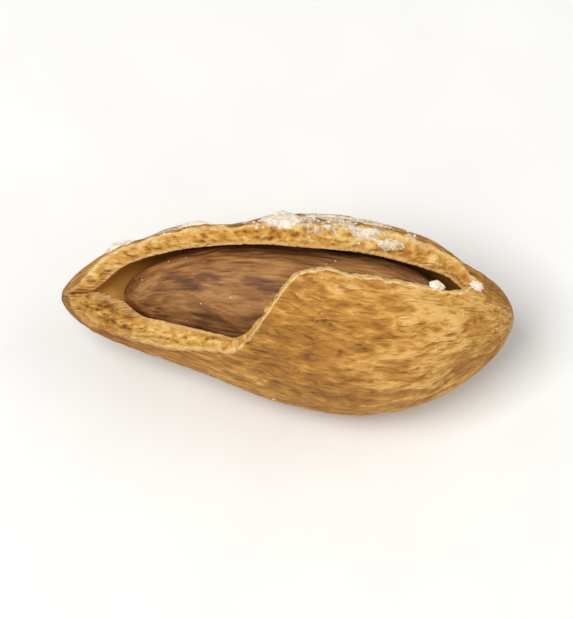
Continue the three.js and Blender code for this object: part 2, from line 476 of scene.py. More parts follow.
@dataclass(frozen=True)
class ShellFinish:
    """Dry fibrous shell: golden outside, crumbly pale edge, smooth olive-brown lining.

    Each ramp lists a place and a colour, from hollows to crests. Patterns follow the fibres.
    """

    tan: Stops = (
        (0.05, "7b4c17"),
        (0.3, "9e6822"),
        (0.55, "b57b2c"),
        (0.75, "cb9542"),
        (0.95, "e4b466"),
    )
    brown: Stops = ((0.15, "724317"), (0.5, "9a6425"), (0.85, "c18738"))
    pith: Stops = ((0.1, "764612"), (0.35, "aa7126"), (0.62, "cb9640"), (0.92, "e6be74"))
    # the lining's palest stops are reached only near the tip, where the wall is painted lighter as
    # painted light
    lining: Stops = ((0.1, "7c5220"), (0.4, "a87430"), (0.75, "d8983e"), (1.0, "f4bc5c"))
    salt: Stops = ((0.3, "c4b196"), (0.6, "eddfc8"))
    scorched: str = "6c4119"
    inner_rim: str = "dfb47a"
    # the bead along the lips' outer edges: partly the pale broken edge, partly a painted highlight
    pale_rim_and_highlight: str = "f0cc8c"

    fibres: Pattern = Pattern((1.25, 0.38, 0.38), 3.5, 1.0)
    strands: Pattern = Pattern((3.4, 0.85, 0.85), 3.0, 1.3)
    patches: Pattern = Pattern((6.0, 4.0, 4.0), 3.0)
    flecks: Pattern = Pattern((0.7, 0.24, 0.24), 2.0, 0.5)
    powder: Pattern = Pattern((0.45, 0.28, 0.28), 5.0)
    gaps: Pattern = Pattern((2.4, 1.1, 1.1), 2.0)
    crests: Pattern = Pattern((3.2, 0.62, 0.62), 1.5, 0.4)
    cracks: Pattern = Pattern((2.6, 0.5, 0.5), 1.5, 0.4)
    crumbs: Pattern = Pattern((0.5, 0.3, 0.3), 4.0, 0.3)
    veins: Pattern = Pattern((4.0, 1.1, 1.1), 3.0, 0.5)
    pores: Size = (0.36, 0.22, 0.22)
    bump_depth: float = 0.26
    roughness: float = 0.82
    lining_roughness: float = 0.55

    def material(self) -> bpy.types.Material:
        """Build the finish.

        Returns:
            A material that reads grain, relief, layer, shade and dust from the mesh.
        """
        g = Material("shell_finish")
        grain, relief, layer = g.place("grain"), g.number("relief"), g.number("layer")
        shade = g.number("shade")
        fibres, strands = g.noise(grain, self.fibres), g.noise(grain, self.strands)
        powder, crumbs = g.noise(grain, self.powder), g.noise(grain, self.crumbs)
        gaps = g.noise(grain, self.gaps).rise(0.4, 0.6)
        crests = g.noise(grain, self.crests).lines(0.09) * gaps
        cracks = g.noise(grain, self.cracks).lines(0.07) * (1 - gaps)
        # Partly painted light: the relief's tone and the crest lines paint raised crests paler, and
        # the relief's tone and the crack lines paint hollows and cracks darker as painted shade; the
        # rest is the shell's own tone.
        tone = relief * 0.42 + (fibres - 0.5) * 0.85 + (strands - 0.5) * 0.45 + 0.425
        tone = tone + crests * 0.16 - cracks * 0.2 - shade * 0.22

        broken = (layer + (crumbs - 0.5) * 0.4).rise(0.85, 1.08)
        inner = layer.rise(2.0, 2.3)
        wall = g.mix(broken, self._skin(g, tone), self._pith(g, relief, layer, shade, crumbs))
        colour = g.mix(inner, wall, self._lining(g, shade))
        # The bead along the lips' outer edges is partly the pale broken edge and partly a painted
        # highlight where that edge catches light.
        bead = (1 - abs(layer - 0.95) * 3.6).rise(0.0, 0.8) * (powder + 0.3).rise(0.55, 0.85)
        colour = g.mix(bead * (0.7 - shade * 0.9), colour, tint(self.pale_rim_and_highlight))
        salt = (g.number("dust") * 1.25 + (powder - 0.5) * 1.3).rise(0.42, 0.8)
        colour = g.mix(salt * 0.85, colour, g.ramp(powder, self.salt))

        outside_rough = self.roughness - (tone - 0.5) * 0.2
        rough = outside_rough * (1 - inner) + inner * self.lining_roughness
        height = fibres * 0.6 + strands * 0.5 + crests * 0.25 - cracks * 0.2
        height = height + broken * (g.cells(grain, self.pores) * 0.4)
        height = height * (1 - inner * 0.85) + salt * (powder * 0.6)
        return g.finish(colour, rough, g.relief(height, self.bump_depth))

    def _skin(self, g: Material, tone: Wire) -> Wire:
        """Colour the outside.

        Args:
            g: The material.
            tone: From 0 in hollows to 1 on crests.

        Returns:
            The colour.
        """
        grain = g.place("grain")
        toasted = g.noise(grain, self.patches).rise(0.42, 0.72) * 0.35
        skin = g.mix(toasted, g.ramp(tone, self.tan), g.ramp(tone, self.brown))
        return g.mix(g.noise(grain, self.flecks).rise(0.62, 0.76) * 0.5, skin, tint(self.scorched))

    def _pith(self, g: Material, relief: Wire, layer: Wire, shade: Wire, crumbs: Wire) -> Wire:
        """Colour the broken edge, which is palest where it meets the lining.

        Args:
            g: The material.
            relief: The relief's tone.
            layer: How far through the wall a point is.
            shade: How much darker it is coloured; below 0 it is paler, partly as painted light.
            crumbs: The edge's own noise.

        Returns:
            The colour.
        """
        pith = g.ramp(relief * 0.45 + (crumbs - 0.5) + 0.58 - shade * 0.3, self.pith)
        return g.mix(layer.rise(1.72, 1.95) * (0.6 - shade * 0.3), pith, tint(self.inner_rim))

    def _lining(self, g: Material, shade: Wire) -> Wire:
        """Colour the cavity's wall, veined along the fibres and painted lighter near the tip as
        painted light.
        """
        veins = g.noise(g.place("grain"), self.veins)
        # Painted light: where shade is -1, near the tip, the wall is lifted towards the palest
        # stops.
        return g.ramp(veins * 0.6 - shade * 0.65 + 0.3, self.lining)


@dataclass(frozen=True)
class KernelFinish:
    """Papery brown skin, finely wrinkled lengthways, paler on its ridges."""

    skin: Stops = ((0.1, "4c2910"), (0.36, "734722"), (0.58, "976532"), (0.88, "bb8a50"))
    dusted: str = "b89068"
    creases: Pattern = Pattern((1.5, 0.28, 0.28), 4.0, 0.8)
    powder: Pattern = Pattern((0.3, 0.2, 0.2), 3.0)
    patches: Pattern = Pattern((3.5, 2.4, 2.4), 3.0, 0.5)
    bump_depth: float = 0.07
    roughness: float = 0.72

    def material(self) -> bpy.types.Material:
        """Build the finish.

        Returns:
            A material that reads grain and relief from the mesh.
        """
        g = Material("kernel_finish")
        grain, relief = g.place("grain"), g.number("relief")
        creases, powder = g.noise(grain, self.creases), g.noise(grain, self.powder)
        patches = g.noise(grain, self.patches)
        tone = relief * 0.3 + (creases - 0.5) * 0.5 + (patches - 0.5) * 1.1 + 0.47
        colour = g.ramp(tone, self.skin)
        colour = g.mix(powder.rise(0.58, 0.8) * 0.3, colour, tint(self.dusted))
        rough = self.roughness - (powder - 0.5) * 0.2
        return g.finish(colour, rough, g.relief(creases * 0.7 + powder * 0.4, self.bump_depth))


@dataclass(frozen=True)
class SaltFinish:
    """Dried salt: chalky, in crystals, and darker in its pits. Sizes are in millimetres."""

    name: str = "salt_finish"
    chalk: Stops = ((0.1, "a8967c"), (0.4, "dccdb6"), (0.7, "f5e8d4"), (1.0, "fff7ea"))
    streak: float = 1.0  # how many times longer than wide its marks are, along the nut
    lump: float = 0.5
    crystal: Size = (0.16, 0.16, 0.16)
    bump_depth: float = 0.07
    light_let_in: float = 0.15
    light_reach: tuple[float, float, float] = (0.4, 0.35, 0.3)  # for red, green and blue

    @classmethod
    def film(cls) -> "SaltFinish":
        """Give the finish of a film so thin that the shell shows through, streaked lengthways."""
        chalk = ((0.2, "97794f"), (0.42, "c2a880"), (0.62, "e0cdb0"), (0.95, "f6ead4"))
        return cls("salt_film_finish", chalk, 1.8)

    def material(self) -> bpy.types.Material:
        """Build the finish.

        Returns:
            A material that reads Object coordinates.
        """
        g = Material(self.name)
        millimetres = g.stretched(g.own_place(), (METRES, METRES, METRES))
        lumps = g.noise(millimetres, Pattern((self.lump * self.streak, self.lump, self.lump), 4.0))
        crystals = g.cells(millimetres, self.crystal)
        tone = (lumps - 0.5) * 1.2 + (crystals - 0.4) * 0.4 + 0.6
        colour = g.ramp(tone, self.chalk)
        g.feed(g.shader.inputs["Subsurface Weight"], self.light_let_in)
        g.feed(g.shader.inputs["Subsurface Radius"], self.light_reach)
        g.feed(g.shader.inputs["Subsurface Scale"], METRES)
        return g.finish(colour, 0.5 + lumps * 0.4, g.relief(crystals + lumps, self.bump_depth))


@dataclass(frozen=True)
class FloorFinish:
    """Plain pale card."""

    card: Stops = ((0.3, "ececea"), (0.7, "f0f0ee"))
    mottle: Pattern = Pattern((0.01, 0.01, 0.01))  # in metres, as Object coordinates are
    roughness: float = 0.9
    bump_depth: float = 0.01

    def material(self) -> bpy.types.Material:
        """Build the finish.

        Returns:
            A material that reads Object coordinates.
        """
        g = Material("floor_finish")
        mottle = g.noise(g.own_place(), self.mottle)
        return g.finish(g.ramp(mottle, self.card), self.roughness, g.relief(mottle, self.bump_depth))


# ---------------------------------------------------------------------------------------------
# The nut's form
# ---------------------------------------------------------------------------------------------


@dataclass(frozen=True)
class Outline:
    """How a stack of rings swells from the tip to its fullest ring and falls to the base.

    On each side of that ring the size is (1 - distance ** power) ** root, and the tip and the
    base each have a power and a root of their own.
    """

    fullest: float
    tip: tuple[float, float]
    base: tuple[float, float]

    def at(self, share: np.ndarray) -> np.ndarray:
        """Give the size of rings.

        Args:
            share: Their shares of the length.

        Returns:
            The sizes, from 0 at each end to 1.
        """
        before = np.clip(1 - share / self.fullest, 0, 1)
        after = np.clip((share - self.fullest) / (1 - self.fullest), 0, 1)
        tip_side = (1 - before ** self.tip[0]) ** self.tip[1]
        base_side = (1 - after ** self.base[0]) ** self.base[1]
        return np.where(share < self.fullest, tip_side, base_side)


@dataclass(frozen=True)
class Axis:
    """The line through the middles of the nut's rings, in millimetres.

    It stands at its height above the floor, swings down and up by its sag and from side to side
    by its bow, and climbs by its rise. The nut's origin is at its rest share.
    """

    length: float = 35.0
    height: float = 8.43
    sag: float = 0.35
    bow: float = 0.45
    rise: float = 1.2
    rest_share: float = 0.55

    def ring(
        self, share: np.ndarray, high: np.ndarray, thick: np.ndarray, turn: np.ndarray
    ) -> np.ndarray:
        """Place points on oval rings that stand across the nut.

        Args:
            share: Shares of the shell's length.
            high: Half heights of the rings.
            thick: Half thicknesses of the rings.
            turn: Turns, in degrees.

        Returns:
            The points, in millimetres.
        """
        angle = np.radians(turn)
        sway = np.sin(2 * np.pi * share)
        level = self.height + self.sag * sway + self.rise * (share - 0.5)
        along = (share - self.rest_share) * self.length
        return np.stack(
            [
                np.broadcast_to(along, angle.shape),
                self.bow * sway + thick * np.sin(angle),
                level + high * np.cos(angle),
            ],
            -1,
        )

    def grain(self, share: np.ndarray, turn: np.ndarray, size: np.ndarray) -> np.ndarray:
        """Give the place of a point in the fibres' pattern, which runs from pole to pole.

        Args:
            share: Shares of the shell's length.
            turn: Turns, in degrees.
            size: The outline's size there, which closes the pattern's barrel at both poles.

        Returns:
            The places, in millimetres.
        """
        angle = np.radians(turn)
        radius = GRAIN_RADIUS * np.maximum(size, 0) ** 0.4
        along = np.broadcast_to(share * self.length, angle.shape)
        return np.stack([along, radius * np.sin(angle), radius * np.cos(angle)], -1)


def crowded(count: int) -> np.ndarray:
    """List the shares of rings that stand closer together at both ends and along the bite.

    Args:
        count: How many gaps there are between rings.

    Returns:
        The shares, from 0 to 1.
    """
    even = np.linspace(0, 1, 4001)
    bite = 1.3 * bump_at(even, 0.45, 0.09)
    tip, base = 1.2 * bump_at(even, 0, 0.08), bump_at(even, 1, 0.06)
    wanted = 1 + bite + tip + base
    reached = np.concatenate([[0], np.cumsum((wanted[1:] + wanted[:-1]) / 2)])
    return np.interp(np.linspace(0, reached[-1], count + 1), reached, even)


class Side(Enum):
    """The two lips of the split, each with the way to it from the seam."""

    BACK = 1
    FRONT = -1


@dataclass
class Split:
    """The open seam: its middle line, its width and the broken bite in its front lip.

    Turns, widths, depths and bevels are in degrees. Each stretch starts with the split and lists
    the shares of the length where it is full, where it begins to fade and where it has ended. The
    open stretch ends with the split.
    """

    start: float
    end: float
    seam_at_tip: float = -20.0
    seam_at_middle: float = 9.0
    seam_at_base: float = 13.5
    half_width: float = 13.5
    open_stretch: tuple[float, float] = (0.09, 0.865)
    bite_depth: float = 63.0
    bite_stretch: tuple[float, float, float] = (0.165, 0.365, 0.54)
    knob_share: float = 0.585
    knob_height: float = 3.0
    back_bevel: float = 8.0
    front_bevel: float = 4.0
    crumbled_bevel: float = 17.0
    crumbled_stretch: tuple[float, float, float] = (0.05, 0.18, 0.38)
    tongue_bevel: float = 42.0
    tongue_stretch: tuple[float, float, float] = (0.03, 0.05, 0.17)
    raggedness: float = 1.5
    raggedness_inside: float = 0.55  # as a part of that outside
    coarse_tooth: float = 0.035
    fine_tooth: float = 0.011

    def seam(self, share: np.ndarray) -> np.ndarray:
        """Give the line of the seam.

        Args:
            share: Shares of the length.

        Returns:
            Its turns, in degrees.
        """
        to_middle = (self.seam_at_middle - self.seam_at_tip) * smooth(share, 0.02, 0.12)
        to_base = (self.seam_at_base - self.seam_at_middle) * smooth(share, 0.45, 0.75)
        return self.seam_at_tip + to_middle + to_base

    def opening(self, share: np.ndarray) -> np.ndarray:
        """Give how open the seam is, from 0 to 1."""
        return between(share, self.start, *self.open_stretch, self.end)

    def ragged(self, side: Side, share: np.ndarray, is_outside: bool) -> np.ndarray:
        """Give how far a lip wanders from its smooth line.

        Args:
            side: Which lip.
            share: Shares of the length.
            is_outside: True for its edge on the outside, False for that on the cavity.

        Returns:
            The turns to add, in degrees.
        """
        lane = side.value * 3.0 + is_outside
        coarse = unevenness_along(share, self.coarse_tooth, lane)
        fine = unevenness_along(share, self.fine_tooth, lane + 7)
        size = self.raggedness * (1.0 if is_outside else self.raggedness_inside)
        return size * (coarse + 0.7 * fine) * self.opening(share)

    def front_bevels(self, share: np.ndarray) -> np.ndarray:
        """Give how much further the front lip is cut outside, where its wall has crumbled.

        Args:
            share: Shares of the length.

        Returns:
            The turns to take off, in degrees.
        """
        crumbled = between(share, self.start, *self.crumbled_stretch)
        tongue = between(share, self.start, *self.tongue_stretch)
        even = self.front_bevel * self.opening(share)
        return even + self.crumbled_bevel * crumbled + self.tongue_bevel * tongue

    def lip(self, side: Side, share: np.ndarray, is_outside: bool) -> np.ndarray:
        """Give the line of a lip.

        Args:
            side: Which lip.
            share: Shares of the length.
            is_outside: True for its edge on the outside, False for that on the cavity.

        Returns:
            Its turns, in degrees.
        """
        opening = self.opening(share)
        turn = self.seam(share) + side.value * self.half_width * opening
        turn = turn + self.ragged(side, share, is_outside)
        if side is Side.BACK:
            return turn + self.back_bevel * opening * is_outside
        bite = between(share, self.start, *self.bite_stretch)
        knob = self.knob_height * bump_at(share, self.knob_share, 0.03)
        return turn - self.bite_depth * bite + knob - self.front_bevels(share) * is_outside


# ---------------------------------------------------------------------------------------------
# The shell
# ---------------------------------------------------------------------------------------------


@dataclass(frozen=True)
class Dent:
    """A shallow hollow in the outside.

    Its middle and its half width are each a share of the length and a turn in degrees, and its
    depth is in millimetres.
    """

    share: float
    turn: float
    along: float
    round: float
    depth: float

    def at(self, share: np.ndarray, turn: np.ndarray) -> np.ndarray:
        """Give its depth at points of the outside, in millimetres."""
        away = signed(turn - self.turn)
        return self.depth * bump_at(share, self.share, self.along) * bump_at(away, 0, self.round)


@dataclass
class Shell:
    """The woody shell, split open along its seam.

    Sizes are in millimetres. Where the cavity and the split begin and end are shares of the length.
    """

    axis: Axis
    rings: int = 280
    steps_outside: int = 248
    steps_inside: int = 48
    steps_across: int = 18
    half_height: float = 9.1
    half_thickness: float = 7.25
    height_outline: Outline = Outline(0.53, (1.7, 0.61), (1.9, 0.55))
    thickness_outline: Outline = Outline(0.62, (1.35, 0.57), (2.0, 0.62))
    cavity_half_height: float = 7.4
    cavity_half_thickness: float = 5.65
    cavity_from: float = 0.045
    cavity_to: float = 0.965
    split_from: float = 0.0113
    split_to: float = 0.916
    dents: tuple[Dent, ...] = (
        Dent(0.36, 64, 0.07, 30, 0.92),
        Dent(0.28, -115, 0.15, 40, 0.25),
        Dent(0.18, 64, 0.03, 30, 0.3),
        Dent(0.885, 60, 0.055, 40, 0.45),
    )
    wrinkle: float = 0.16
    swelling: float = 0.12
    dash_depth: float = 0.09
    pit_depth: float = 0.25
    groove_depth: float = 0.16
    grooves: tuple[float, float] = (168.0, 191.0)  # their turns, either side of the back edge
    groove_width: float = 2.6
    edge_bulge: float = 0.14
    edge_roughness: float = 0.12
    bead_height: float = 0.22
    bead_from_lip: float = 0.35
    drift: Swell = Swell((5, 2.5, 2.5), 2, 31)
    fold: Swell = Swell((4.0, 0.85, 0.85))
    ripple: Swell = Swell((1.5, 0.42, 0.42), 2, 17)
    ridge: Swell = Swell((13, 1.7, 1.7), 1, 5)
    broad: Swell = Swell((8, 5, 5), 2, 53)
    strength: Swell = Swell((6, 4, 4), 1, 71)
    pitted: Swell = Swell((9, 5, 5), 1, 91)
    pits: Pits = Pits((2.6, 1.3, 1.3), 0, 0.14, 0.34)
    dashes: Pits = Pits((2.2, 0.62, 0.62), 3, 0.08, 0.24)
    groove_wander: Swell = Swell((7, 4, 4), 1)
    cavity_swell: Swell = Swell((6, 2, 2), 2, 7)
    bead_swell: Swell = Swell((1.2, 0.8, 0.8), 2, 23)
    salt_patches: Swell = Swell((3.5, 1.6, 1.6), 3, 61)
    edge_crumbs: Swell = Swell((0.8, 0.5, 0.5), 3, 5)
    edge_lumps: Swell = Swell((2.4, 1.1, 1.1), 2, 15)
    edge_pores: Pits = Pits((0.6, 0.4, 0.4), 0, 0.1, 0.45)

    def __post_init__(self) -> None:
        """Stand the rings, and open the split between two of them."""
        self.shares = crowded(self.rings)
        self.first_open = int(np.searchsorted(self.shares, self.split_from))
        self.last_open = int(np.searchsorted(self.shares, self.split_to))
        self.split = Split(self.shares[self.first_open], self.shares[self.last_open])

    def smooth_outside(self, share: np.ndarray, turn: np.ndarray) -> np.ndarray:
        """Place points on the outside before it has any relief.

        Args:
            share: Shares of the length.
            turn: Turns, in degrees.

        Returns:
            The points, in millimetres.
        """
        high = self.half_height * self.height_outline.at(share)
        thick = self.half_thickness * self.thickness_outline.at(share)
        return self.axis.ring(share, high, thick, turn)

    def grain(self, share: np.ndarray, turn: np.ndarray) -> np.ndarray:
        """Give the place of points in the fibres' pattern."""
        return self.axis.grain(share, turn, self.thickness_outline.at(share))

    def outward(self, share: np.ndarray, turn: np.ndarray) -> np.ndarray:
        """Give the way out of the shell at points of its outside.

        Args:
            share: Shares of the length.
            turn: Turns, in degrees.

        Returns:
            Unit vectors.
        """
        ahead, behind = np.minimum(share + 0.003, 1), np.maximum(share - 0.003, 0)
        along = self.smooth_outside(ahead, turn) - self.smooth_outside(behind, turn)
        round_ = self.smooth_outside(share, turn + 1) - self.smooth_outside(share, turn - 1)
        return unit(np.cross(along, round_))

    def relief(self, share: np.ndarray, turn: np.ndarray) -> tuple[np.ndarray, np.ndarray]:
        """Work out how the outside stands up from its smooth form.

        Args:
            share: Shares of the length.
            turn: Turns, in degrees.

        Returns:
            The height in millimetres, and the same as a tone from -1 in a hollow to 1 on a crest.
        """
        grain = self.grain(share, turn)
        drift = self.drift.sideways(grain, 0.9)
        strength = 0.5 + 0.6 * smooth(self.strength.at(grain), -0.4, 0.5)
        lines, broad = self._lines(share, turn, grain, drift), self.broad.at(grain)
        pitted = smooth(self.pitted.at(grain), 0.0, 0.35) * self._hidden(turn)
        pits, dashes = pitted * self.pits.at(grain + drift), self.dashes.at(grain + drift * 2)
        wander = turn + 5 * self.groove_wander.at(grain)
        grooves = sum(bump_at(wander, groove, self.groove_width) for groove in self.grooves)
        past_split = smooth(share, self.split.end - 0.01, self.split.end + 0.02)
        seam_line = past_split * bump_at(turn, self.split.seam(share), 2.2)
        height = self.wrinkle * strength * lines + self.swelling * broad - self.dash_depth * dashes
        height -= self.pit_depth * pits + self.groove_depth * (grooves + 0.6 * seam_line)
        # The tone is painted into the colour: partly the shell's own tone, partly painted shade in
        # hollows, pits and grooves and painted light on crests.
        tone = lines * strength - 1.1 * pits - 0.8 * dashes - 0.6 * (grooves + seam_line)
        tone = np.clip(tone + 0.3 * broad, -1, 1)
        fade = smooth(self.thickness_outline.at(share), 0.05, 0.4)
        return height * fade - sum(dent.at(share, turn) for dent in self.dents), tone

    def _lines(
        self, share: np.ndarray, turn: np.ndarray, grain: np.ndarray, drift: np.ndarray
    ) -> np.ndarray:
        """Run wrinkles along the fibres, with long ridges on the front face near the base.

        Args:
            share: Shares of the length.
            turn: Turns, in degrees.
            grain: The points' places in the fibres' pattern.
            drift: How far the fibres wander there.

        Returns:
            How high the wrinkles stand, about -1 to 1.
        """
        fold = self.fold.crests(grain + drift, 2.4)
        ripple = self.ripple.at(grain + drift * 1.4)
        ridges = np.maximum(self.ridge.crests(grain + drift * 0.7, 3.2), 0)
        ridges = ridges * smooth(share, 0.5, 0.7) * (1 - self._hidden(turn))
        return fold * 0.55 + ripple * 0.6 + ridges * 0.8

    @staticmethod
    def _hidden(turn: np.ndarray) -> np.ndarray:
        """Give 1 on the back face, which is the coarser one, and less on the front."""
        return 0.15 + 0.85 * smooth(np.cos(np.radians(turn - 115)), -0.3, 0.4)

    def outside(self, share: np.ndarray, turn: np.ndarray) -> tuple[np.ndarray, np.ndarray]:
        """Place points on the finished outside, pressed flat where it meets the floor.

        Args:
            share: Shares of the length.
            turn: Turns, in degrees.

        Returns:
            The points, and the tone of the relief there.
        """
        height, tone = self.relief(share, turn)
        points = self.smooth_outside(share, turn)
        points = points + self.outward(share, turn) * height[..., None]
        points[..., 2] = np.maximum(points[..., 2], 0)
        return points, tone

    def cavity(self, share: np.ndarray, turn: np.ndarray) -> np.ndarray:
        """Place points on the cavity's wall, which is shallower near the tip.

        Args:
            share: Shares of the cavity's own length.
            turn: Turns, in degrees.

        Returns:
            The points, in millimetres.
        """
        high = self.cavity_half_height * self.height_outline.at(share)
        thick = self.cavity_half_thickness * self.thickness_outline.at(share)
        uneven = 1 + 0.012 * self.cavity_swell.at(self.grain(share, turn))
        of_shell = self.cavity_from + (self.cavity_to - self.cavity_from) * share
        below = np.clip(-np.cos(np.radians(turn)), 0, 1)
        shallow = 1 - 0.9 * (1 - smooth(share, 0.05, 0.2)) * below
        return self.axis.ring(of_shell, high * uneven * shallow, thick * uneven, turn)

    def over_edge(self, share: np.ndarray, turn: np.ndarray) -> tuple[np.ndarray, np.ndarray]:
        """Place points on the outside, and past the back lip on down its broken edge.

        Args:
            share: Shares of the length.
            turn: Turns, in degrees. Those short of the lip go down the edge.

        Returns:
            The points and the way out of the shell there.
        """
        lip = self.split.lip(Side.BACK, share, True)
        on_skin = np.maximum(turn, lip)
        points, _ = self.outside(share, on_skin)
        out = self.outward(share, on_skin)
        down = self.cavity(share, self.split.lip(Side.BACK, share, False)) - points
        width = np.linalg.norm(down, axis=-1)
        degree = self._degree(share)
        part = np.clip((on_skin - turn) * degree / width, 0, 0.95)[..., None]
        gap = self.smooth_outside(share, lip - 2) - self.smooth_outside(share, lip)
        along = np.array([1.0, 0.0, 0.0])
        off = unit(np.cross(along, down))
        off = off * np.sign(np.sum(off * gap, axis=-1, keepdims=True))
        bulge = self.edge_bulge * width[..., None] * np.sin(np.pi * part)
        out = unit(out * (1 - part) ** 4 + off * part**0.5)
        return points + down * part + off * bulge, out

    def _degree(self, share: np.ndarray) -> np.ndarray:
        """Give about how many millimetres of the outside one degree of turn is."""
        return np.radians(self.half_thickness * self.thickness_outline.at(share)) * 1.1

    def _turns(self, is_outside: bool, steps: int) -> np.ndarray:
        """List each ring's turns, quarter by quarter from the back lip to the front lip.

        Args:
            is_outside: True for the outside, False for the cavity's wall.
            steps: How many gaps there are round a ring.

        Returns:
            One row of turns for each ring, in degrees.
        """
        back = self.split.lip(Side.BACK, self.shares, is_outside)
        front = self.split.lip(Side.FRONT, self.shares, is_outside)
        still = np.ones_like(back)
        stops = np.stack([back, 90 * still, 180 * still, 255 * still, 360 + front], -1)
        spots = np.linspace(0, 4, steps + 1)
        return np.stack([np.interp(spots, range(5), row) for row in stops])

    def _from_lip(self, share: np.ndarray, turn: np.ndarray) -> np.ndarray:
        """Give how far points are from the split.

        Args:
            share: Shares of the length.
            turn: Turns, in degrees, from lip to lip in each row.

        Returns:
            About the distances, in millimetres.
        """
        degree = self._degree(share)
        beyond = np.maximum(share - self.split.end, self.split.start - share) * self.axis.length
        to_back = (turn - turn[:, :1]) * degree
        to_front = (turn[:, -1:] - turn) * degree
        return np.hypot(np.minimum(to_back, to_front), np.maximum(beyond, 0))

    def salted(self, share: np.ndarray, turn: np.ndarray, grain: np.ndarray) -> np.ndarray:
        """Give how much fine salt lies on points of the shell.

        It lies thickest along the crest behind the split, and in patches on the back.

        Args:
            share: Shares of the length.
            turn: Turns, in degrees.
            grain: The points' places in the fibres' pattern.

        Returns:
            From 0 for none to 1.
        """
        away = signed(turn)
        crest = bump_at(away, 42, 16) * between(share, 0.08, 0.16, 0.8, 0.9)
        thick = 0.55 + 0.45 * bump_at(share, 0.65, 0.13) + 0.25 * bump_at(share, 0.13, 0.05)
        back = bump_at(away, 112, 34) * bump_at(share, 0.5, 0.28)
        under = bump_at(away, -150, 25) * bump_at(share, 0.3, 0.15)
        patchy = smooth(self.salt_patches.at(grain), -0.35, 0.35)
        return np.clip((crest * thick + 0.6 * back + 0.4 * under) * patchy + 0.003, 0, 1)

    def shaded(self, share: np.ndarray, turn: np.ndarray, from_lip: np.ndarray) -> np.ndarray:
        """Give how much darker points of the outside are coloured, with painted light along the
        front lip.

        Args:
            share: Shares of the length.
            turn: Turns, in degrees.
            from_lip: How far the points are from the split, in millimetres.

        Returns:
            From about -1 for pale to 1 for dark.
        """
        front = smooth(np.sin(np.radians(turn)), 0.3, -0.3)
        # Painted light: the front face is painted paler along the lip, as a band of light.
        painted_light_at_lip = 1.2 * bump_at(from_lip, 0, 2.2) * smooth(share, 0.42, 0.56)
        pale_base = 0.7 * smooth(share, 0.66, 0.9)
        tongue = 0.15 * (1 - smooth(share, 0.3, 0.5)) + 0.8 * (1 - smooth(share, 0.08, 0.2))
        split_end = bump_at(signed(turn), 42, 30) * bump_at(share, 0.86, 0.09)
        shade = front * (tongue - painted_light_at_lip - pale_base) + 0.3 * split_end
        return shade - 0.7 * bump_at(share, 0, 0.09)

    def _outer_skin(self) -> Patch:
        """Make the outside, with a bead along its lips.

        Returns:
            The sheet.
        """
        turn = self._turns(True, self.steps_outside)
        share = np.broadcast_to(self.shares[:, None], turn.shape)
        points, tone = self.outside(share, turn)
        from_lip = self._from_lip(share, turn)
        ripe = np.clip(0.5 + self.bead_swell.at(self.grain(share, turn)), 0, 1)
        near = from_lip / self.bead_from_lip
        ripe = ripe * (0.3 + 0.7 * smooth(share, 0.3, 0.5)) * (1 - smooth(share, 0.84, 0.9))
        bead = self.bead_height * ripe * near * np.exp(1 - near)
        points = points + self.outward(share, turn) * bead[..., None]
        layer = 1 - np.clip(from_lip / 0.8, 0, 1)
        return Patch(points, self._numbers(share, turn, tone, layer, from_lip))

    def _lining(self) -> Patch:
        """Make the cavity's wall.

        Returns:
            The sheet.
        """
        turn = self._turns(False, self.steps_inside)
        share = np.broadcast_to(self.shares[:, None], turn.shape)
        points = self.cavity(share, turn)
        from_lip = self._from_lip(share, turn)
        layer = 2 + np.clip(from_lip, 0, 1)
        numbers = self._numbers(share, turn, np.zeros(turn.shape), layer, from_lip)
        # The lining's shade is painted light: -1 near the tip, where the wall is painted lighter,
        # rising to 0 past it.
        return Patch(points, {**numbers, "shade": smooth(share, 0.06, 0.2) - 1})

    def _edge(self, side: Side) -> Patch:
        """Make the broken edge along one lip, from the outside to the cavity.

        Args:
            side: Which lip.

        Returns:
            The sheet.
        """
        share = self.shares[self.first_open : self.last_open + 1]
        outer_turn = self.split.lip(side, share, True)
        inner_turn = self.split.lip(side, share, False)
        outer, outer_tone = self.outside(share, outer_turn)
        inner = self.cavity(share, inner_turn)
        part = np.linspace(0, 1, self.steps_across + 1)
        across = inner - outer
        points = outer[:, None] + across[:, None] * part[:, None]
        turn = outer_turn[:, None] + (inner_turn - outer_turn)[:, None] * part
        shares = np.broadcast_to(share[:, None], turn.shape)
        width = np.linalg.norm(across, axis=-1)
        grain = points * np.array([1, 1.3, 1.3])
        pores = self.edge_pores.at(grain)
        crumbs, lumps = self.edge_crumbs.at(grain), self.edge_lumps.at(grain)
        arch = np.sin(np.pi * part)
        profile = arch**0.6
        height = self.edge_roughness * (crumbs - pores + lumps)
        height = height + self.edge_bulge * width[:, None] * arch + 0.06 * bump_at(part, 0.93, 0.06)
        height = height * profile * self.split.opening(share)[:, None] ** 0.5
        out = self._out_of_edge(side, share, outer_turn, across)
        points = points + out[:, None] * height[..., None]
        # The tone is painted into the colour: partly the edge's own crumbly tone, partly painted
        # shade in its pores and painted light on its lumps.
        tone = np.clip(crumbs * 0.9 - 0.8 * pores + 0.6 * lumps + 0.2, -1, 1) * profile
        tone = tone + outer_tone[:, None] * (1 - profile) * (1 - part)
        layer = 1 + np.broadcast_to(part, turn.shape)
        return Patch(points, self._numbers(shares, turn, tone, layer, np.zeros(turn.shape)))

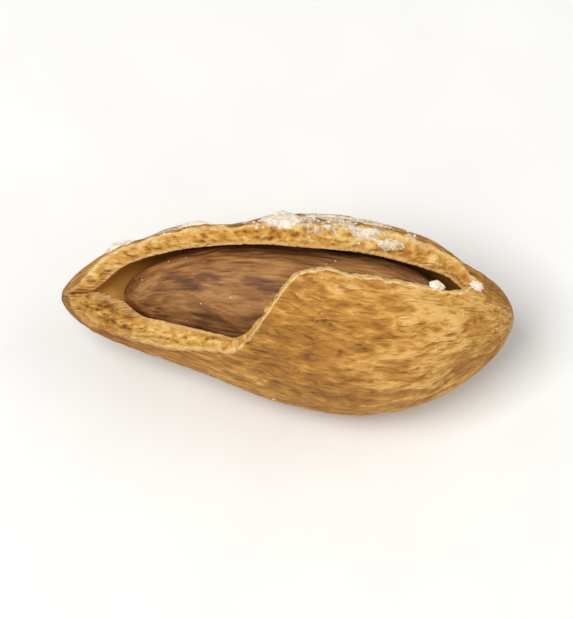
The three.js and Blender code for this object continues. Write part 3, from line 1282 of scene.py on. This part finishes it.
    def _out_of_edge(
        self, side: Side, share: np.ndarray, turn: np.ndarray, across: np.ndarray
    ) -> np.ndarray:
        """Give the way out of a broken edge, towards the gap.

        Args:
            side: Which lip.
            share: Shares of the length.
            turn: The lip's turns on the outside.
            across: The way from the outside to the cavity.

        Returns:
            One unit vector for each ring.
        """
        here = self.smooth_outside(share, turn)
        into_gap = self.smooth_outside(share, turn - side.value * 2) - here
        along = np.gradient(here + across / 2, axis=0)
        out = unit(np.cross(along, across))
        out = out * np.sign(np.sum(out * into_gap, axis=-1, keepdims=True))
        return unit(steadied(out, 6))

    def _numbers(
        self,
        share: np.ndarray,
        turn: np.ndarray,
        tone: np.ndarray,
        layer: np.ndarray,
        from_lip: np.ndarray,
    ) -> dict[str, np.ndarray]:
        """Gather what the finish reads at points of the shell.

        Args:
            share: Shares of the length.
            turn: Turns, in degrees.
            tone: The relief's tone.
            layer: 0 outside, 1 at a lip's outer edge, 2 at its inner edge and 3 on the lining.
            from_lip: How far the points are from the split, in millimetres.

        Returns:
            The fibres' place, the relief's tone, the layer, how much darker the colour is (partly
            painted light) and the salt.
        """
        grain = self.grain(share, turn)
        dust = self.salted(share, turn, grain) * (1 - smooth(layer, 1.3, 1.9))
        shade = self.shaded(share, turn, from_lip)
        return {"grain": grain, "relief": tone, "layer": layer, "shade": shade, "dust": dust}

    def build(self, finish: ShellFinish) -> bpy.types.Object:
        """Build the shell and dress it.

        Args:
            finish: The shell's finish.

        Returns:
            The shell.
        """
        sheets = [self._outer_skin(), self._lining(), *(self._edge(side) for side in Side)]
        shell = weld("nut_shell", sheets)
        shell.data.materials.append(finish.material())
        return shell


# ---------------------------------------------------------------------------------------------
# The kernel
# ---------------------------------------------------------------------------------------------


@dataclass
class Kernel:
    """The kernel in its brown skin, loose in the cavity.

    Sizes are in millimetres. It starts and ends at shares of the shell's length.
    """

    axis: Axis
    rings: int = 220
    steps_round: int = 220
    start: float = 0.137
    end: float = 0.858
    half_height: float = 6.3
    half_thickness: float = 4.45
    sink: float = 0.3
    lean: float = 0.2
    outline: Outline = Outline(0.58, (1.8, 0.53), (3.4, 0.5))
    wrinkle: float = 0.06
    swelling: float = 0.15
    drift: Swell = Swell((5, 2.5, 2.5), 2, 13)
    fold: Swell = Swell((5.0, 0.8, 0.8), 2, 3)
    crease: Swell = Swell((2.2, 0.36, 0.36), 2, 41)
    broad: Swell = Swell((5, 3.5, 3.5), 2, 77)

    def build(self, finish: KernelFinish) -> bpy.types.Object:
        """Build the kernel and dress it.

        Args:
            finish: The kernel's finish.

        Returns:
            The kernel.
        """
        kernel = weld("nut_kernel", [self._skin()])
        kernel.data.materials.append(finish.material())
        return kernel

    def _skin(self) -> Patch:
        """Make the kernel's folded skin.

        Returns:
            The sheet, which closes on itself.
        """
        own = (1 - np.cos(np.pi * np.linspace(0, 1, self.rings + 1))) / 2
        turn, own = np.meshgrid(np.linspace(0, 360, self.steps_round + 1), own)
        of_shell = self.start + (self.end - self.start) * own
        size = self.outline.at(own)
        grain = self.axis.grain(of_shell, turn, size)
        drift = self.drift.sideways(grain, 0.8)
        folds, creases = self.fold.crests(grain + drift, 2.4), self.crease.at(grain + drift * 1.5)
        broad = self.broad.at(grain)
        lines = 0.6 * folds + 0.5 * creases
        height = (self.wrinkle * lines + self.swelling * broad) * smooth(size, 0.1, 0.5)
        points = self.axis.ring(
            of_shell, self.half_height * size + height, self.half_thickness * size + height, turn
        )
        points += np.array([0, self.lean, -self.sink])
        numbers = {
            "grain": grain,
            "relief": np.clip(lines, -1, 1),
            "dust": 0.25 * smooth(np.cos(np.radians(turn)), 0.2, 0.9) * smooth(broad, -0.1, 0.3),
        }
        return Patch(points, numbers)


# ---------------------------------------------------------------------------------------------
# The salt
# ---------------------------------------------------------------------------------------------


@dataclass(frozen=True)
class Crust:
    """One crust of salt.

    Its middle is a share of the length and a turn in degrees. Its size along the nut and round it
    and its thickness are in millimetres.
    """

    name: str
    share: float
    turn: float
    along: float
    round: float
    thick: float
    worn: float = 0.0  # how much of it has worn through to the shell
    streak: float = 1.0  # how many times longer than wide its lumps are
    skew: float = 0.0  # how much further round its base end lies than its tip end, in degrees
    is_over_edge: bool = False  # whether it runs on down the broken edge
    is_film: bool = False  # whether it is thin enough for the shell to show through


@dataclass
class Salt:
    """The crusts that dried on the shell, and the loose grains around them."""

    shell: Shell
    rings: int = 30
    steps_round: int = 110
    roots: float = 0.16  # how deep a crust holds on below the surface, in millimetres
    crusts: tuple[Crust, ...] = (
        Crust("salt_rim_crust", 0.65, 42, 9.2, 4.2, 0.3, 0.56, 3.0, -16, True, True),
        Crust("salt_rim_lump", 0.475, 37, 3.4, 2.8, 0.5, 0, 1, 0, True),
        Crust("salt_rim_fleck", 0.29, 46, 2.4, 1.4, 0.35, 0.3, 1.5),
        Crust("salt_tip_lump", 0.125, 46, 2.3, 1.5, 0.45),
        Crust("salt_split_grain", 0.908, 9, 1.1, 0.9, 0.35),
        Crust("salt_lip_grain", 0.82, -1, 1.3, 0.8, 0.4),
        Crust("salt_back_crust", 0.52, 108, 11.5, 6, 0.5, 0.56, 1.3),
        Crust("salt_back_fleck", 0.77, 84, 2.8, 2.1, 0.4, 0.1),
        Crust("salt_edge_crust", 0.36, 150, 6, 3.4, 0.45, 0.42, 1.2),
        Crust("salt_under_crust", 0.3, -150, 4.4, 2.6, 0.4, 0.4),
    )

    def build_crust(self, crust: Crust, material: bpy.types.Material) -> bpy.types.Object:
        """Build one crust, sunk a little into the shell so that it holds on.

        Args:
            crust: What it is like.
            material: The salt's material.

        Returns:
            The crust.
        """
        reach = np.linspace(0, 1, self.rings + 1)
        angle, reach = np.meshgrid(np.linspace(0, 2 * np.pi, self.steps_round + 1), reach)
        circle = np.stack([np.cos(angle), np.sin(angle), np.full_like(angle, crust.turn)], -1)
        lobes = 0.95 + 0.28 * unevenness(circle, (0.5, 0.5, 9), 3)
        across = reach * lobes * np.sin(angle) * crust.round / 2 / self._degree(crust)
        forth = reach * lobes * np.cos(angle) * crust.along / 2 / self.shell.axis.length
        across = across + crust.skew * reach * np.cos(angle) / 2
        share, turn = crust.share + forth, crust.turn + across
        if crust.is_over_edge:
            surface, out = self.shell.over_edge(share, turn)
        else:
            surface, out = self.shell.outside(share, turn)[0], self.shell.outward(share, turn)
        thickness = self._thickness(crust, surface, reach)
        crown = surface + out * (thickness - self.roots * 0.6)[..., None]
        underside = surface - out * self.roots
        rim = np.stack([crown[-1], underside[-1]])
        piece = weld(f"{crust.name}_cake", [Patch(crown), Patch(underside), Patch(rim)])
        piece.data.materials.append(material)
        return piece

    def _degree(self, crust: Crust) -> float:
        """Measure how many millimetres of the surface one degree of turn is at a crust.

        Args:
            crust: The crust.

        Returns:
            The millimetres.
        """
        turns = np.array([crust.turn - 0.5, crust.turn + 0.5])
        before, after = self.shell.smooth_outside(np.array([crust.share] * 2), turns)
        return float(np.linalg.norm(after - before))

    @staticmethod
    def _thickness(crust: Crust, surface: np.ndarray, reach: np.ndarray) -> np.ndarray:
        """Heap a crust up: lumps, crystals, pin holes and places worn through.

        Args:
            crust: What it is like.
            surface: The points of the shell under it.
            reach: How far each is from its middle, from 0 to 1 at its edge.

        Returns:
            The thickness, in millimetres.
        """
        lumps = Swell((crust.streak, 0.9, 0.9), 3, 9).at(surface)
        level = Swell((2 * crust.streak, 0.9, 0.9), 2, 49).at(surface)
        crystals = 1 - hollows(surface + 3, (0.3, 0.26, 0.26))
        holes = Pits((0.7, 0.6, 0.6), 0, 0.1, 0.3).at(surface)
        sound = 0.6 - 1.2 * crust.worn
        worn = smooth(level, sound, sound + 0.25)
        dome = np.clip(1 - reach**2.4, 0, 1) ** 0.5
        heaped = crust.thick * dome * (0.7 + 0.45 * lumps + 0.3 * crystals - 0.45 * holes)
        return np.maximum(heaped * (1 - 0.92 * worn), 0)

    def scatter(self, host: bpy.types.Object, grains: "Grains") -> bpy.types.Object:
        """Strew loose grains over a piece, where its own number says that salt lies.

        Args:
            host: The piece that they lie on.
            grains: What they are like.

        Returns:
            The grains, as one plain mesh.
        """
        strewn = bpy.data.objects.new(grains.name, host.data)
        bpy.context.collection.objects.link(strewn)
        tree = grains.strewing()
        modifier = strewn.modifiers.new("strew", "NODES")
        modifier.node_group = tree
        sockets = {item.name: item.identifier for item in tree.interface.items_tree}
        for name, (_, value) in grains.inputs().items():
            modifier[sockets[name]] = value
        shape = bpy.context.evaluated_depsgraph_get()
        mesh = bpy.data.meshes.new_from_object(strewn.evaluated_get(shape))
        strewn.modifiers.clear()
        strewn.data = mesh
        mesh.name = grains.name
        return strewn


@dataclass(frozen=True)
class Grains:
    """Loose grains of salt: how many, how large in millimetres and of what."""

    name: str
    material: bpy.types.Material
    per_square_mm: float = 3.2
    smallest: float = 0.035
    largest: float = 0.13
    narrowest: float = 0.6  # the least that one side of a grain is scaled by
    widest: float = 1.3  # and the most
    seed: int = 11

    def inputs(self) -> dict[str, tuple[str, object]]:
        """List the inputs of the tree that strews them.

        Returns:
            The kind and the value of each, by name.
        """
        return {
            "Grains per square metre": ("NodeSocketFloat", self.per_square_mm / METRES**2),
            "Smallest": ("NodeSocketFloat", self.smallest * METRES),
            "Largest": ("NodeSocketFloat", self.largest * METRES),
            "Seed": ("NodeSocketInt", self.seed),
            "Finish": ("NodeSocketMaterial", self.material),
        }

    def strewing(self) -> bpy.types.GeometryNodeTree:
        """Build the tree that strews small rough crystals over a surface.

        Returns:
            The tree, whose last nodes are Realize Instances and Set Material.
        """
        tree = bpy.data.node_groups.new(f"{self.name}_strewn", "GeometryNodeTree")
        g = Graph(tree)
        tree.interface.new_socket("Surface", in_out="INPUT", socket_type="NodeSocketGeometry")
        for name, (kind, _) in self.inputs().items():
            tree.interface.new_socket(name, in_out="INPUT", socket_type=kind)
        tree.interface.new_socket("Grains", in_out="OUTPUT", socket_type="NodeSocketGeometry")

        salted = g.node("GeometryNodeInputNamedAttribute", {}, {"Name": "dust"}, "Attribute")
        density = salted * g.given("Grains per square metre")
        spread = {"Mesh": g.given("Surface"), "Density": density, "Seed": g.given("Seed")}
        points = g.node("GeometryNodeDistributePointsOnFaces", {}, spread, "Points")
        crystal = g.node("GeometryNodeMeshIcoSphere", {}, {"Radius": 1.0, "Subdivisions": 1}, "Mesh")
        turned = self._drawn(g, (0.0,) * 3, (2 * math.pi,) * 3)
        uneven = self._drawn(g, (self.narrowest,) * 3, (self.widest,) * 3)
        sized = self._drawn(g, g.given("Smallest"), g.given("Largest"))
        scale = g.node("ShaderNodeVectorMath", {"operation": "MULTIPLY"}, {0: uneven, 1: sized})
        placed = {"Points": points, "Instance": crystal, "Rotation": turned, "Scale": scale}
        strewn = g.node("GeometryNodeInstanceOnPoints", {}, placed)
        solid = g.node("GeometryNodeRealizeInstances", {}, {"Geometry": strewn})
        dressed = {"Geometry": solid, "Material": g.given("Finish")}
        done = g.node("GeometryNodeSetMaterial", {}, dressed)
        g.feed(tree.nodes.new("NodeGroupOutput").inputs["Grains"], done)
        return tree

    @staticmethod
    def _drawn(g: Graph, low: Wire | tuple, high: Wire | tuple) -> Wire:
        """Draw a random value for each grain.

        Args:
            g: The tree.
            low: The smallest value, a vector if it is a tuple and a number if it is a wire.
            high: The largest value.

        Returns:
            The value.
        """
        is_vector = isinstance(low, tuple)
        first = 0 if is_vector else 2
        settings = {"data_type": "FLOAT_VECTOR" if is_vector else "FLOAT"}
        inputs = {first: low, first + 1: high, "Seed": g.given("Seed")}
        return g.node("FunctionNodeRandomValue", settings, inputs, "Value")


# ---------------------------------------------------------------------------------------------
# The room
# ---------------------------------------------------------------------------------------------


@dataclass(frozen=True)
class Lamp:
    """One soft square lamp: its place and size in metres and its power in watts."""

    name: str
    place: tuple[float, float, float]
    size: float
    power: float


@dataclass
class Studio:
    """A pale floor, soft light and the camera. Places and sizes are in metres."""

    elevation: float = 65.0
    roll: float = 3.8
    lens: float = 200.0
    distance: float = 0.266
    aim: tuple[float, float, float] = (-0.0018, 0.0, 0.0082)
    nearest: float = 0.005
    half_floor: float = 2.0
    lamps: tuple[Lamp, ...] = (
        Lamp("key_lamp", (-0.13, -0.13, 0.40), 0.20, 1.42),
        Lamp("side_lamp", (0.30, 0.02, 0.30), 0.30, 0.35),
    )
    sky: tuple[float, float, float, float] = (1.0, 0.985, 0.96, 1.0)
    sky_strength: float = 0.43

    def build(self) -> None:
        """Set the whole room up."""
        self._floor()
        self._camera()
        for lamp in self.lamps:
            self._hang(lamp)
        self._sky()

    def _floor(self) -> None:
        """Lay the floor."""
        mesh = bpy.data.meshes.new("floor")
        half = self.half_floor
        corners = [(-half, -half, 0), (half, -half, 0), (half, half, 0), (-half, half, 0)]
        mesh.from_pydata(corners, [], [(0, 1, 2, 3)])
        floor = bpy.data.objects.new("floor", mesh)
        bpy.context.collection.objects.link(floor)
        mesh.materials.append(FloorFinish().material())

    def _camera(self) -> None:
        """Look down at the front of the nut."""
        lens = bpy.data.cameras.new("camera")
        lens.lens = self.lens
        lens.clip_start = self.nearest
        camera = bpy.data.objects.new("camera", lens)
        bpy.context.collection.objects.link(camera)
        tilt = math.radians(self.elevation)
        back = Vector((0, -math.cos(tilt), math.sin(tilt))) * self.distance
        turned = Matrix.Rotation(math.radians(90 - self.elevation), 4, "X")
        rolled = Matrix.Rotation(math.radians(self.roll), 4, "Z")
        camera.matrix_world = Matrix.Translation(Vector(self.aim) + back) @ turned @ rolled
        bpy.context.scene.camera = camera

    def _hang(self, lamp: Lamp) -> None:
        """Hang a lamp that faces the nut.

        Args:
            lamp: What it is like.
        """
        light = bpy.data.lights.new(lamp.name, "AREA")
        light.size = lamp.size
        light.energy = lamp.power
        hung = bpy.data.objects.new(lamp.name, light)
        bpy.context.collection.objects.link(hung)
        hung.location = lamp.place
        away = Vector(lamp.place) - Vector(self.aim)
        hung.rotation_euler = away.to_track_quat("Z", "Y").to_euler()

    def _sky(self) -> None:
        """Fill the room with even light."""
        world = bpy.data.worlds.new("room")
        world.use_nodes = True
        backdrop = world.node_tree.nodes["Background"]
        backdrop.inputs["Color"].default_value = self.sky
        backdrop.inputs["Strength"].default_value = self.sky_strength
        scene = bpy.context.scene
        scene.world = world
        scene.view_settings.view_transform = "Standard"


def hand_over(piece: bpy.types.Object, node: str | None = None) -> None:
    """Put a finished piece on the nut's body, and report it.

    Args:
        piece: The piece.
        node: The CAD node that it stands for, if there is one.
    """
    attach(piece, "root")
    if node:
        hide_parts(node)
    LOG.info("%s: %d faces", piece.name, len(piece.data.polygons))


def main() -> None:
    """Build the almond and its room, piece by piece."""
    logging.basicConfig(level=logging.INFO, format="%(name)s: %(message)s")
    axis = Axis()
    shell_maker = Shell(axis)
    shell = shell_maker.build(ShellFinish())
    hand_over(shell, "shell")
    kernel = Kernel(axis).build(KernelFinish())
    hand_over(kernel, "kernel")

    salt = Salt(shell_maker)
    white, film = SaltFinish().material(), SaltFinish.film().material()
    for crust in salt.crusts:
        hand_over(salt.build_crust(crust, film if crust.is_film else white), crust.name)
    for host, grains in (
        (shell, Grains("shell_salt_grains", white)),
        (kernel, Grains("kernel_salt_grains", white, per_square_mm=0.9, largest=0.08, seed=5)),
    ):
        hand_over(salt.scatter(host, grains))

    Studio().build()


if __name__ == "__main__":
    main()
